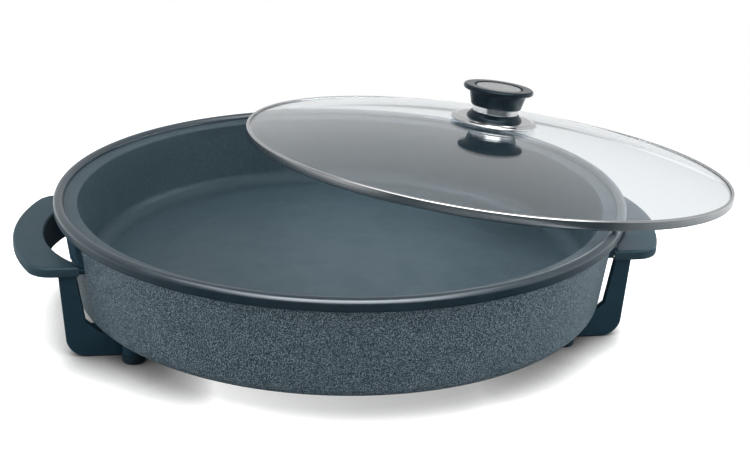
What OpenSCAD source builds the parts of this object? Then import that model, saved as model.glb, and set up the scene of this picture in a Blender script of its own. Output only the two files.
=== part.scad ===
// Electric pizza pan: round deep pan with loop handles on legs and a loose domed glass lid.
// Frame: millimetres, +Z up, origin where the pan's axis meets the table, handles along X.

/* [Rim] */
// Outer diameter of the rolled rim
rim_d = 420; // [360:1:460]
// Height of the rim's top above the table
rim_top = 97.2; // [80:0.2:120]
// Radial width of the rolled bead
bead_w = 7.5; // [5:0.1:10]
// Height of the smooth band
band_h = 9; // [7:0.1:14]
// Drop from the bead's top to the lid ledge
ledge_drop = 4; // [3:0.1:8]
// Radius of the ledge's inner edge
ledge_r = 193; // [160:0.5:200]

/* [Pan] */
// Height of the housing's underside above the table
base_z = 21; // [14:0.5:30]
// Housing radius under the rim
wall_top_r = 204.1; // [170:0.1:210]
// Housing radius at the bottom corner
wall_bottom_r = 196.2; // [160:0.1:205]
// Radius of the housing's bottom corner
corner_r = 8; // [4:0.5:14]
// Thickness of the housing
shell_t = 1.6; // [1.4:0.1:3]
// Height of the cooking surface above the table
floor_z = 40; // [34:0.5:60]
// Thickness of the bowl's floor
floor_t = 4; // [3:0.1:6]
// Thickness of the bowl's wall
bowl_t = 3; // [2:0.1:4]
// Fillet between the bowl's wall and floor
bowl_fillet = 10; // [5:0.5:16]

/* [Base and heater] */
// Radius of the base cover
cover_r = 182; // [150:1:188]
// Thickness of the base cover
cover_t = 1.2; // [1:0.1:2.5]
// Radius of the heating ring's centre line
ring_r = 125; // [90:1:150]
// Radius of the heating tube
tube_r = 3.5; // [3:0.1:4.5]

/* [Inlet] */
// Radius of a contact pin
pin_r = 3; // [2:0.1:4]
// Distance between the two pins' centres
pin_gap = 32; // [24:0.5:40]
// How far the pins' tips stand from the pan's axis
pin_tip = 230; // [222:0.5:240]
// Bore radius of the thermostat probe's guide
probe_r = 3.3; // [2.5:0.1:4.5]
// Half width of the inlet collar
collar_hw = 33; // [28:0.5:40]
// Outer end of the inlet collar from the pan's axis
collar_end = 226; // [215:0.5:236]

/* [Handles] */
// Height of the handle's top above the table
handle_top = 69.6; // [50:0.1:80]
// Thickness of the handle loop
handle_t = 7.8; // [7:0.1:16]
// Reach of the handle from the pan's axis
handle_x = 239.5; // [220:0.5:260]
// Half length of the handle
handle_hy = 76; // [70:0.5:100]
// Radius of the handle's long outer curve
handle_big_r = 163; // [120:1:220]
// Radius of the handle's outer corners
handle_corner_r = 18; // [10:0.5:30]
// Radius of the finger opening's curve
grip_r = 103; // [80:0.5:130]
// How far the finger opening reaches from the pan's axis
grip_x = 217.5; // [205:0.5:230]
// Edge rounding of the finger opening
handle_edge = 2.2; // [1:0.1:3.4]
// Depth of the stiffening curtain under the loop
curtain_h = 17.2; // [5:0.1:24]
// Distance the loop's arms end before the housing
arm_gap = 3.6; // [3:0.1:9]

/* [Legs] */
// Distance from the middle plane to a leg's outer face
leg_y = 72; // [50:0.5:80]
// Thickness of a leg's base rail
leg_t = 14; // [8:0.5:18]
// Thickness of a leg's upright
leg_up_t = 6; // [4:0.5:10]
// Clearance between a leg's base and the table
leg_gap = 0.6; // [0.5:0.1:4]
// Height of a leg's base rail
leg_rail = 17; // [8:0.5:19]
// Inner end of a leg's base rail from the middle
leg_in = 146; // [120:1:165]
// Foot position along X
foot_x = 155; // [140:0.5:170]
// Foot position along Y
foot_y = 80; // [76:0.5:86]
// Radius of a rubber foot
foot_r = 8.4; // [6:0.1:12]
// Height of a rubber foot
foot_h = 6; // [4:0.1:10]

/* [Lid] */
// Outer radius of the lid's steel band
lid_r = 197.9; // [170:0.1:205]
// Height of the lid's steel band
lid_band_h = 7.6; // [7.4:0.1:12]
// Rise of the glass dome
dome = 23.9; // [10:0.1:40]
// Thickness of the glass
glass_t = 4; // [3:0.1:5]
// Tilt of the lid lying askew on the rim
lid_tilt = 7.28; // [0:0.01:10]
// Direction in which the lid is pushed aside
lid_dir = 32; // [0:0.1:90]
// Distance the lid is pushed aside
lid_shift = 156; // [140:0.1:170]
// Height of the lid's middle above the table
lid_z = 89.7; // [80:0.1:120]

/* [Knob] */
// Radius of the knob's lip
knob_r = 28.3; // [20:0.1:34]
// Height of the knob above its flange
knob_h = 25.8; // [22:0.1:40]
// Radius of the chrome flange
flange_r = 35; // [25:0.5:42]
// Thickness of the chrome flange
flange_t = 3.2; // [2.6:0.1:5]
// Thickness of the clear washers
washer_t = 0.8; // [0.5:0.1:2]

/* [Hidden] */
$fn = 96;
eps = 0.01;

rim_r = rim_d / 2;
bead_r = bead_w / 2;
bead_c = rim_top - bead_r;
ledge_z = rim_top - ledge_drop;
flange_out = rim_r - 4.8;
band_z = rim_top - band_h;
flange_u = ledge_z - 2.5;
bowl_in_r = ledge_r - 4.5;
floor_u = floor_z - floor_t;
tube_z = floor_u - tube_r - 0.05;
cover_z = base_z - cover_t;
pin_x = pin_gap / 2;
wall_in = 191;
insul_out = 205;
insul_z0 = 24.6;
insul_z1 = 41;
insul_hw = 25;
handle_bot = handle_top - handle_t;
handle_mid = handle_top - handle_t / 2;
big_x = handle_x - handle_big_r;
grip_cx = grip_x - grip_r;
corner_y = handle_hy - handle_corner_r;
corner_x = big_x + sqrt(pow(handle_big_r - handle_corner_r, 2) - corner_y * corner_y);
wedge_a = atan2(corner_y, corner_x - big_x);
arm_in = 184;
glass_u = 2.6;
skirt_h = 4.8;
neck_h = 4.5;
dome_ref = 194;
glass_in_R = (dome_ref * dome_ref + dome * dome) / (2 * dome);
glass_c = glass_u + dome - glass_in_R;
glass_out_R = glass_in_R + glass_t;
glass_top = glass_u + dome + glass_t;
flange_b = glass_top + washer_t;
flange_z = flange_b + flange_t;
stud_r = 3;
pad_y = 71;
cover_at = [0, 55, 125, 180, 235, 305];

// ---------- helpers ----------

// rounded rectangle from (x, y), size (w, h), corner radius r
module rrect(x, y, w, h, r) {
  translate([x + r, y]) square([w - 2 * r, h]);
  translate([x, y + r]) square([w, h - 2 * r]);
  for (i = [x + r, x + w - r], j = [y + r, y + h - r])
    translate([i, j]) circle(r, $fn = 32);
}

module half() { intersection() { children(); translate([0, -500]) square([600, 1000]); } }

// solid of revolution of the housing's outside, grown by g
module shell_form(g = 0) {
  polygon([[0, base_z + corner_r], [wall_bottom_r + g, base_z + corner_r],
    [wall_top_r + g, flange_u], [0, flange_u]]);
  translate([0, base_z - g]) square([wall_bottom_r - corner_r, corner_r + g + eps]);
  translate([wall_bottom_r - corner_r, base_z + corner_r]) circle(corner_r + g);
}

module shell_void() {
  t = shell_t;
  polygon([[0, base_z + corner_r], [wall_bottom_r - t, base_z + corner_r],
    [wall_top_r - t, flange_u + 1], [0, flange_u + 1]]);
  translate([0, base_z + t]) square([wall_bottom_r - corner_r, corner_r]);
  translate([wall_bottom_r - corner_r, base_z + corner_r]) circle(corner_r - t);
}

module both_x() { children(); mirror([1, 0, 0]) children(); }
module both_y() { children(); mirror([0, 1, 0]) children(); }
module four() { both_x() both_y() children(); }

module lid_pose() {
  translate([lid_shift * cos(lid_dir), lid_shift * sin(lid_dir), lid_z])
    rotate([0, 0, lid_dir]) rotate([0, lid_tilt, 0]) rotate([0, 0, -lid_dir]) children();
}

// ---------- pan ----------

module pan_bowl() {
  fx = bowl_in_r - 2;
  color("#2b3036")
    rotate_extrude($fn = 180) half() difference() {
      union() {
        polygon([[0, floor_u], [fx - bowl_fillet + 4, floor_u], [fx + bowl_t, floor_z + bowl_fillet - 4],
          [ledge_r + bowl_t, flange_u + eps], [flange_out, flange_u], [flange_out, ledge_z],
          [ledge_r, ledge_z - 1.2], [0, ledge_z - 1.2]]);
        translate([fx - bowl_fillet + 4, floor_z + bowl_fillet - 4]) circle(bowl_fillet);
      }
      polygon([[-1, floor_z + bowl_fillet], [fx, floor_z + bowl_fillet],
        [ledge_r, ledge_z - 1.2 + eps], [ledge_r, ledge_z + 5], [-1, ledge_z + 5]]);
      translate([-1, floor_z]) square([fx - bowl_fillet + 1, bowl_fillet + eps]);
      translate([fx - bowl_fillet, floor_z + bowl_fillet]) circle(bowl_fillet);
    }
}

module rim_ring() {
  color("#3b434b")
    rotate_extrude($fn = 180) difference() {
      union() {
        translate([rim_r - bead_r, bead_c]) circle(bead_r);
        translate([rim_r - bead_w, ledge_z]) square([bead_w, bead_c - ledge_z]);
        translate([rim_r - bead_w, band_z + 1.2]) square([bead_w, ledge_z - band_z - 1.2 + eps]);
        translate([rim_r - 3.4, band_z + 1.2]) circle(1.2, $fn = 32);
        translate([rim_r - 1.2, band_z + 1.2]) circle(1.2, $fn = 32);
        translate([rim_r - 3.4, band_z]) square([2.2, 1.3]);
      }
      translate([0, band_z - 5]) square([flange_out, ledge_z - band_z + 5]);
    }
}

module body_shell() {
  color("#57646e")
    difference() {
      rotate_extrude($fn = 180) half() difference() {
        shell_form();
        shell_void();
        translate([-1, base_z - 5]) square([173, 30]);
      }
      translate([-insul_hw - 0.3, 180, insul_z0 - 0.3])
        cube([2 * insul_hw + 0.6, 40, insul_z1 - insul_z0 + 0.6]);
      four() translate([arm_in, pad_y, handle_mid]) rotate([0, 90, 0]) cylinder(r = 2.15, h = 40, $fn = 32);
      for (a = cover_at) rotate([0, 0, a]) translate([177.5, 0, base_z - 1])
        cylinder(r = 1.65, h = 5, $fn = 24);
      four() translate([166, 64, base_z - 1]) cylinder(r = 2.15, h = 5, $fn = 24);
    }
}

module base_cover() {
  color("#8d9296")
    difference() {
      union() {
        rotate_extrude($fn = 180) difference() {
          translate([0, cover_z]) square([cover_r, cover_t]);
          translate([60, cover_z - 0.7]) rrect(0, 0, 24, 1.2, 0.5);
        }
        rotate_extrude($fn = 120) rrect(60, cover_z + 0.5, 24, cover_t + 0.5, 0.6);
      }
      for (a = cover_at) rotate([0, 0, a]) translate([177.5, 0, cover_z - 1])
        cylinder(r = 1.85, h = 4, $fn = 24);
      four() for (x = [150, 166]) translate([x, 64, cover_z - 1])
        cylinder(r = 2.15, h = 4, $fn = 24);
    }
}

module cover_screws() {
  color("#a8adb1")
    for (a = cover_at) rotate([0, 0, a]) translate([177.5, 0, 0]) {
      translate([0, 0, cover_z - 2]) cylinder(r = 3.2, h = 2, $fn = 32);
      translate([0, 0, cover_z - eps]) cylinder(r = 1.5, h = cover_t + shell_t + 2.5, $fn = 24);
    }
}

// ---------- heater ----------

module heating_element() {
  a = acos((pin_x - 3) / ring_r);
  color("#6b6e70")
    translate([0, 0, tube_z]) {
      rotate([0, 0, 180 - a]) rotate_extrude(angle = 180 + 2 * a, $fn = 120)
        translate([ring_r, 0]) circle(tube_r, $fn = 32);
      both_x() translate([pin_x, ring_r - 4, 0]) rotate([-90, 0, 0])
        cylinder(r = tube_r, h = insul_out + 1 - ring_r, $fn = 32);
    }
}

module element_clips() {
  color("#b4b8bb")
    for (a = [-90, 0, 180]) rotate([0, 0, a]) translate([ring_r, 0, 0]) difference() {
      translate([-11, -7, tube_z - tube_r - 1.2]) cube([22, 14, floor_u - tube_z + tube_r + 1.2]);
      translate([0, 8, tube_z]) rotate([90, 0, 0]) cylinder(r = tube_r + 0.35, h = 16, $fn = 48);
      translate([-tube_r - 0.35, -8, tube_z]) cube([2 * tube_r + 0.7, 16, 10]);
      translate([7.6, 0, tube_z - 12]) cylinder(r = 1.7, h = 30, $fn = 24);
    }
}

module element_studs() {
  color("#a8adb1")
    for (a = [-90, 0, 180]) rotate([0, 0, a]) translate([ring_r + 7.6, 0, 0]) {
      translate([0, 0, tube_z - tube_r - 3.4]) cylinder(r = 3, h = 2.2, $fn = 6);
      translate([0, 0, tube_z - tube_r - 1.3])
        cylinder(r = 1.5, h = floor_u - tube_z + tube_r + 1.25, $fn = 24);
    }
}

// ---------- inlet ----------

module inlet_insulator() {
  color("#d8cfbd")
    difference() {
      translate([-insul_hw, wall_in, insul_z0])
        cube([2 * insul_hw, insul_out - wall_in, insul_z1 - insul_z0]);
      both_x() translate([pin_x, 180, tube_z]) rotate([-90, 0, 0])
        cylinder(r = tube_r + 0.15, h = 40, $fn = 48);
      translate([0, 180, tube_z - 1]) rotate([-90, 0, 0]) cylinder(r = probe_r + 1.35, h = 40, $fn = 48);
    }
}

module inlet_pins() {
  color("#c9ccce")
    both_x() translate([pin_x, insul_out - 3, tube_z]) rotate([-90, 0, 0]) {
      cylinder(r = pin_r, h = pin_tip - insul_out + 2, $fn = 48);
      translate([0, 0, pin_tip - insul_out + 2 - eps]) cylinder(r1 = pin_r, r2 = pin_r - 1, h = 1, $fn = 48);
    }
}

module probe_guide() {
  color("#b4b8bb")
    translate([0, 150, tube_z - 1]) rotate([-90, 0, 0]) difference() {
      cylinder(r = probe_r + 1.2, h = 58, $fn = 64);
      translate([0, 0, 2]) cylinder(r = probe_r, h = 60, $fn = 64);
    }
}

module inlet_collar() {
  hw = collar_hw;
  z0 = base_z - 0.6;
  h = 25;
  color("#1d2125")
    difference() {
      translate([0, collar_end, 0]) rotate([90, 0, 0])
        linear_extrude(collar_end - 185) rrect(-hw, z0, 2 * hw, h, 6);
      translate([0, collar_end + 1, 0]) rotate([90, 0, 0])
        linear_extrude(collar_end - 203) rrect(-hw + 2.6, z0 + 2.6, 2 * hw - 5.2, h - 5.2, 4);
      rotate_extrude($fn = 180) shell_form(0.05);
      translate([-insul_hw - 0.2, 180, insul_z0 - 0.2])
        cube([2 * insul_hw + 0.4, 60, insul_z1 - insul_z0 + 0.4]);
      both_x() translate([27.8, 190, 33]) rotate([-90, 0, 0]) cylinder(r = 1.65, h = 30, $fn = 24);
    }
}

module collar_screws() {
  color("#a8adb1")
    both_x() translate([27.8, 0, 33]) {
      translate([0, 196.5, 0]) rotate([-90, 0, 0]) cylinder(r = 1.5, h = 6, $fn = 24);
      translate([0, 204, 0]) rotate([-90, 0, 0]) cylinder(r1 = 2.5, r2 = 2, h = 1.6, $fn = 32);
      translate([0, 202, 0]) rotate([-90, 0, 0]) cylinder(r = 1.5, h = 2.5, $fn = 24);
    }
}

// ---------- handles ----------

// flat sector of a disc
module sector(r, from, sweep) {
  far = 2 * r;
  intersection() {
    circle(r, $fn = 120);
    polygon([[0, 0], [far * cos(from), far * sin(from)],
      [far * cos(from + sweep), far * sin(from + sweep)]]);
  }
}

module loop_form() {
  linear_extrude(handle_t) {
    difference() {
      translate([big_x, 0]) sector(handle_big_r, -wedge_a, 2 * wedge_a);
      translate([0, -150]) square([corner_x, 300]);
    }
    translate([corner_x, corner_y]) sector(handle_corner_r, wedge_a, 90 - wedge_a);
    translate([corner_x, -corner_y]) sector(handle_corner_r, -90, 90 - wedge_a);
    translate([arm_in, -handle_hy]) square([corner_x - arm_in, 2 * handle_hy]);
  }
}

// solid removed to make the finger opening, flared at both faces
module grip_cut() {
  e = handle_edge;
  rotate_extrude($fn = 120) difference() {
    translate([0, -1]) square([grip_r + e, handle_t + 2]);
    translate([grip_r + e, e]) circle(e, $fn = 32);
    translate([grip_r + e, handle_t - e]) circle(e, $fn = 32);
    translate([grip_r, e]) square([2 * e, handle_t - 2 * e]);
  }
}

module one_handle() {
  difference() {
    union() {
      difference() {
        translate([0, 0, handle_bot]) loop_form();
        translate([grip_cx, 0, handle_bot]) grip_cut();
      }
      intersection() {
        translate([grip_cx, 0, handle_top - 3 - curtain_h - 8]) difference() {
          cylinder(r = grip_r + 5.4, h = curtain_h + 8, $fn = 120);
          translate([0, 0, -1]) cylinder(r = grip_r, h = curtain_h + 20, $fn = 120);
        }
        translate([190, 0, 0]) rotate([90, 0, 90]) linear_extrude(45)
          polygon([[-56, handle_top - 3], [-29, handle_bot - curtain_h],
            [52, handle_bot - curtain_h], [56, handle_top - 3]]);
      }
    }
    rotate_extrude($fn = 180) shell_form(arm_gap);
    both_y() translate([arm_in, pad_y, handle_mid]) rotate([0, 90, 0])
      cylinder(r = 1.95, h = 24, $fn = 24);
  }
}

module handle_right() { color("#30383f") one_handle(); }
module handle_left() { color("#30383f") mirror([1, 0, 0]) one_handle(); }

module handle_pads() {
  color("#20262b")
    four() difference() {
      intersection() {
        union() {
          translate([arm_in, pad_y, handle_mid]) rotate([0, 90, 0]) cylinder(r = 3.2, h = 20, $fn = 48);
          translate([arm_in, pad_y - 15, handle_top - 1]) cube([24, 19, band_z - handle_top - 0.7]);
        }
        rotate_extrude($fn = 180) difference() { shell_form(arm_gap - 0.05); shell_form(0.04); }
      }
      translate([arm_in - 5, pad_y, handle_mid]) rotate([0, 90, 0]) cylinder(r = 2.15, h = 34, $fn = 32);
    }
}

module handle_screws() {
  color("#a8adb1")
    four() translate([182.4, pad_y, handle_mid]) rotate([0, 90, 0]) {
      cylinder(r = 1.8, h = 22, $fn = 24);
      cylinder(r = 3.2, h = 1.8, $fn = 32);
    }
}

// ---------- legs ----------

module leg_profile() {
  r = 14;
  z0 = leg_gap;
  difference() {
    union() {
      polygon([[193, handle_bot], [204.9, handle_bot], [201.6, z0 + r], [201.6 - r, z0],
        [leg_in, z0], [leg_in, z0 + leg_rail], [177, z0 + leg_rail], [187.6, 27]]);
      translate([201.6 - r, z0 + r]) circle(r);
    }
    translate([leg_in - 50, z0 + leg_rail + 1.5]) square([5, 5]);
  }
}

module one_leg() {
  difference() {
    union() {
      translate([0, leg_y - leg_up_t, 0]) mirror([0, 1, 0]) rotate([90, 0, 0])
        linear_extrude(leg_up_t) leg_profile();
      translate([0, leg_y - leg_t, 0]) mirror([0, 1, 0]) rotate([90, 0, 0])
        linear_extrude(leg_t) intersection() { leg_profile(); square([300, leg_gap + leg_rail + 3]); }
      translate([foot_x, foot_y, foot_h]) cylinder(r = foot_r - 0.6, h = leg_gap + leg_rail - foot_h, $fn = 64);
      translate([foot_x - foot_r + 0.6, leg_y - 2, foot_h])
        cube([2 * foot_r - 1.2, foot_y - leg_y + 2, leg_gap + leg_rail - foot_h]);
      translate([leg_in, 56, leg_gap + leg_rail - 3]) cube([28, 12, cover_z - leg_gap - leg_rail + 3]);
    }
    translate([foot_x, foot_y, -1]) cylinder(r = foot_r + 0.1, h = foot_h + 1, $fn = 64);
    translate([foot_x, foot_y, 0]) cylinder(r = 1.85, h = 14, $fn = 24);
    rotate_extrude($fn = 180) shell_form(1.2);
    for (x = [150, 166]) {
      translate([x, 64, 0]) cylinder(r = 2.15, h = 30, $fn = 24);
      translate([x, 64, -1]) cylinder(r = 3.6, h = 10, $fn = 32);
    }
  }
}

module leg_rear_right() { color("#1b2126") one_leg(); }
module leg_rear_left() { color("#1b2126") mirror([1, 0, 0]) one_leg(); }
module leg_front_right() { color("#1b2126") mirror([0, 1, 0]) one_leg(); }
module leg_front_left() { color("#1b2126") mirror([0, 1, 0]) mirror([1, 0, 0]) one_leg(); }

module leg_screws() {
  color("#a8adb1")
    four() for (x = [150, 166]) translate([x, 64, 7.15]) {
      cylinder(r = 3.3, h = 1.8, $fn = 32);
      cylinder(r = 1.9, h = base_z + shell_t - 7.15 + 2, $fn = 24);
    }
}

module one_foot() {
  translate([foot_x, foot_y, 0]) difference() {
    union() {
      translate([0, 0, 0.8]) cylinder(r = foot_r, h = foot_h - 0.8, $fn = 64);
      cylinder(r1 = foot_r - 0.8, r2 = foot_r, h = 0.8 + eps, $fn = 64);
    }
    translate([0, 0, -1]) cylinder(r = 4, h = 3.4, $fn = 48);
    translate([0, 0, 1]) cylinder(r = 1.95, h = 10, $fn = 24);
  }
}

module foot_rear_right() { color("#15181b") one_foot(); }
module foot_rear_left() { color("#15181b") mirror([1, 0, 0]) one_foot(); }
module foot_front_right() { color("#15181b") mirror([0, 1, 0]) one_foot(); }
module foot_front_left() { color("#15181b") mirror([0, 1, 0]) mirror([1, 0, 0]) one_foot(); }

module foot_screws() {
  color("#a8adb1")
    four() translate([foot_x, foot_y, 0.6]) {
      cylinder(r = 3.3, h = 1.8, $fn = 32);
      cylinder(r = 1.7, h = 12, $fn = 24);
    }
}

// ---------- lid ----------

module glass_form() {
  half() intersection() {
    difference() {
      translate([0, glass_c]) circle(glass_out_R, $fn = 720);
      translate([0, glass_c]) circle(glass_in_R, $fn = 720);
    }
    square([lid_r - 1.6, 60]);
  }
}

module lid_glass() {
  color("#c9d3d6", 0.35)
    lid_pose() difference() {
      rotate_extrude($fn = 180) glass_form();
      cylinder(r = 4.2, h = 60, $fn = 48);
    }
}

module lid_band() {
  color("#c3c7ca")
    lid_pose() rotate_extrude($fn = 180) difference() {
      rrect(lid_r - 4.6, 0, 4.6, lid_band_h, 1.5);
      translate([lid_r - 10, 3]) square([7.6, 20]);
      glass_form();
    }
}

module lid_washer_upper() {
  color("#d9dcdc")
    lid_pose() translate([0, 0, glass_top]) rotate_extrude($fn = 96)
      translate([4.2, 0]) square([24, washer_t]);
}

module knob_flange() {
  color("#d5d8da")
    lid_pose() rotate_extrude($fn = 96) difference() {
      union() {
        polygon([[3.2, flange_b], [flange_r - 1.2, flange_b], [flange_r - 1.2, flange_b + 2],
          [flange_r - 3.8, flange_z - 0.7], [flange_r - 4.6, flange_z], [3.2, flange_z]]);
        translate([flange_r - 1.2, flange_b + 1.2]) circle(1.2, $fn = 32);
      }
      square([3.2, 60]);
    }
}

module knob_skirt() {
  color("#14171a")
    lid_pose() translate([0, 0, flange_z]) rotate_extrude($fn = 96)
      polygon([[3.2, 0], [22.5, 0], [22.5, 1.2], [19.2, skirt_h], [3.2, skirt_h]]);
}

module knob_neck() {
  color("#d5d8da")
    lid_pose() translate([0, 0, flange_z + skirt_h]) rotate_extrude($fn = 96)
      translate([3.2, 0]) square([15.2, neck_h]);
}

module knob_grip() {
  h = knob_h - skirt_h - neck_h;
  color("#101316")
    lid_pose() translate([0, 0, flange_z + skirt_h + neck_h]) rotate_extrude($fn = 96) difference() {
      union() {
        polygon([[0, 0], [20, 0], [20.6, 0.6], [23.2, h - 4.2], [26, h - 4.2], [26, h], [0, h]]);
        translate([knob_r - 2.1, h - 2.1]) circle(2.1, $fn = 48);
        translate([18, h - 4.2]) square([knob_r - 20.1, 4.2]);
      }
      translate([-1, h - 1.6]) square([19.6, 5]);
      translate([-1, -1]) square([4.2, 9]);
      translate([19.6, h + 1.1]) circle(2.2, $fn = 32);
    }
}

module knob_disc() {
  color("#c9ccd0")
    lid_pose() translate([0, 0, flange_z + knob_h - 1.6]) rotate_extrude($fn = 96)
      polygon([[0, 0], [18, 0], [18, 0.9], [17.4, 1.2], [0, 1.3]]);
}

module lid_washer_lower() {
  color("#2a2d2f")
    lid_pose() translate([0, 0, glass_u + dome - 2]) rotate_extrude($fn = 64)
      translate([3.2, 0]) rrect(0, 0, 6.8, 1.93, 0.5);
}

module knob_screw() {
  z = glass_u + dome - 2;
  color("#b9bdc0")
    lid_pose() {
      translate([0, 0, z - 2.6]) cylinder(r1 = 5.2, r2 = 6.4, h = 2.6, $fn = 48);
      translate([0, 0, z - eps]) cylinder(r = stud_r, h = flange_z + skirt_h + neck_h + 7 - z, $fn = 48);
    }
}

pan_bowl();
rim_ring();
body_shell();
base_cover();
cover_screws();
heating_element();
element_clips();
element_studs();
inlet_insulator();
inlet_pins();
probe_guide();
inlet_collar();
collar_screws();
handle_left();
handle_right();
handle_pads();
handle_screws();
leg_front_left();
leg_front_right();
leg_rear_left();
leg_rear_right();
leg_screws();
foot_front_left();
foot_front_right();
foot_rear_left();
foot_rear_right();
foot_screws();
lid_glass();
lid_band();
lid_washer_upper();
knob_flange();
knob_skirt();
knob_neck();
knob_grip();
knob_disc();
lid_washer_lower();
knob_screw();
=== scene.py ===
import math

import bmesh
import bpy
from mathutils import Matrix, Vector


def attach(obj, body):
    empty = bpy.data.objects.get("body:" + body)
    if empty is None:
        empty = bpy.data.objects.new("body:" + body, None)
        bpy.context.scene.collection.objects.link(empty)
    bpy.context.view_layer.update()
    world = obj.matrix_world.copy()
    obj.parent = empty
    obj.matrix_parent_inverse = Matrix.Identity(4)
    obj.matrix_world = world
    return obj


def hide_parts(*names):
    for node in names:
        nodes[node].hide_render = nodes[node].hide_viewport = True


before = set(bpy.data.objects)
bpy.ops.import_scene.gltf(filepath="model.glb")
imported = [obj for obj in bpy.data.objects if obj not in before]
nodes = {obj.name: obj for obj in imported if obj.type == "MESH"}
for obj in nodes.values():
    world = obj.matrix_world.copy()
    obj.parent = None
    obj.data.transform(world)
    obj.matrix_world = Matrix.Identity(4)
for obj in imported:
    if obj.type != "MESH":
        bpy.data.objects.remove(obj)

scene = bpy.context.scene
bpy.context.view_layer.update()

# camera: metres, millimetres of lens, and degrees of turn, tilt down and roll
view = {"place": (-0.14521, -0.98856, 0.44219), "yaw": -9.86, "down": 20.72, "roll": 1.99,
        "lens": 68.03, "sensor": 36, "clipStart": 0.02}
cameraData = bpy.data.cameras.new("camera")
cameraData.sensor_fit = "HORIZONTAL"
cameraData.sensor_width = view["sensor"]
cameraData.lens = view["lens"]
cameraData.clip_start = view["clipStart"]
camera = bpy.data.objects.new("camera", cameraData)
scene.collection.objects.link(camera)
camera.matrix_world = (
    Matrix.Translation(view["place"])
    @ Matrix.Rotation(math.radians(view["yaw"]), 4, "Z")
    @ Matrix.Rotation(math.radians(90 - view["down"]), 4, "X")
    @ Matrix.Rotation(math.radians(view["roll"]), 4, "Z")
)
scene.camera = camera
scene.view_settings.view_transform = "Standard"
print("camera ready")

# the pieces' own lengths are millimetres; addPiece scales a finished mesh to metres
meshing = {"merge": 0.002, "near": 0.02, "level": 0.01, "sharpAngle": 38, "toMetres": 0.001}

# the lid lies pushed out and tipped down towards the right rear
lid = {"shift": 156.0, "toward": 32.0, "height": 89.7, "tilt": 7.28}
towardAngle = math.radians(lid["toward"])
lidPlace = (
    Matrix.Translation((lid["shift"] * math.cos(towardAngle), lid["shift"] * math.sin(towardAngle),
                        lid["height"]))
    @ Matrix.Rotation(towardAngle, 4, "Z")
    @ Matrix.Rotation(math.radians(lid["tilt"]), 4, "Y")
    @ Matrix.Rotation(-towardAngle, 4, "Z")
)
lidBack = lidPlace.inverted()


# a line of edges through (radius, height) points in the plane y = 0
def chain(bm, points, closed=True):
    verts = [bm.verts.new((r, 0, z)) for r, z in points]
    edges = [bm.edges.new(pair) for pair in zip(verts, verts[1:])]
    if closed:
        edges.append(bm.edges.new((verts[-1], verts[0])))
    return verts + edges


def onlyVerts(parts):
    return [part for part in parts if isinstance(part, bmesh.types.BMVert)]


# edges that don't change along one axis: 1 for y, 2 for z
def levelEdges(bm, axis):
    level = meshing["level"]
    return [e for e in bm.edges if abs(e.verts[0].co[axis] - e.verts[1].co[axis]) < level]


def tidyMesh(bm):
    bmesh.ops.remove_doubles(bm, verts=bm.verts[:], dist=meshing["merge"])
    bmesh.ops.recalc_face_normals(bm, faces=bm.faces[:])


def joinEnds(bm):
    bmesh.ops.remove_doubles(bm, verts=bm.verts[:], dist=meshing["near"])


def bevelEdges(bm, edges, width, segments):
    bmesh.ops.bevel(bm, geom=edges, offset=width, offset_type="OFFSET", segments=segments,
                    profile=0.5, affect="EDGES", material=-1, clamp_overlap=True)


# rounds off the ring edge that runs at one radius and height
def roundRing(bm, r, z, width, segments):
    near = meshing["near"]

    def onRing(v):
        return abs(math.hypot(v.co.x, v.co.y) - r) < near and abs(v.co.z - z) < near

    bevelEdges(bm, [e for e in bm.edges if all(onRing(v) for v in e.verts)], width, segments)


# turns a profile round z; rounds lists (radius, height, width, segments) of edges to round off
def lathe(profile, rounds, steps, closed=True):
    bm = bmesh.new()
    bmesh.ops.spin(bm, geom=chain(bm, profile, closed), cent=(0, 0, 0), axis=(0, 0, 1),
                   angle=2 * math.pi, steps=steps, use_merge=True)
    tidyMesh(bm)
    for ring in rounds:
        roundRing(bm, *ring)
    return bm


def sweepArc(bm, start, centre, degrees, steps, axis=(0, 0, 1)):
    point = bm.verts.new(start)
    bmesh.ops.spin(bm, geom=[point], cent=centre, axis=axis,
                   angle=math.radians(degrees), steps=steps)


def joinInto(target, other):
    spare = bpy.data.meshes.new("spare")
    other.to_mesh(spare)
    other.free()
    target.from_mesh(spare)
    bpy.data.meshes.remove(spare)


def flipped(bm, axes):
    twin = bm.copy()
    bmesh.ops.scale(twin, vec=axes, verts=twin.verts[:])
    bmesh.ops.recalc_face_normals(twin, faces=twin.faces[:])
    return twin


def addPiece(name, bm, body, finish, stands, place=None, weighted=True):
    if place:
        bmesh.ops.transform(bm, matrix=place, verts=bm.verts[:])
    bmesh.ops.scale(bm, vec=(meshing["toMetres"],) * 3, verts=bm.verts[:])
    mesh = bpy.data.meshes.new(name)
    bm.to_mesh(mesh)
    bm.free()
    mesh.shade_smooth()
    mesh.set_sharp_from_angle(angle=math.radians(meshing["sharpAngle"]))
    mesh.materials.append(finish)
    piece = bpy.data.objects.new(name, mesh)
    scene.collection.objects.link(piece)
    if weighted:
        normals = piece.modifiers.new("face weighted", "WEIGHTED_NORMAL")
        normals.keep_sharp = True
    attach(piece, body)
    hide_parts(*stands)


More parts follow.
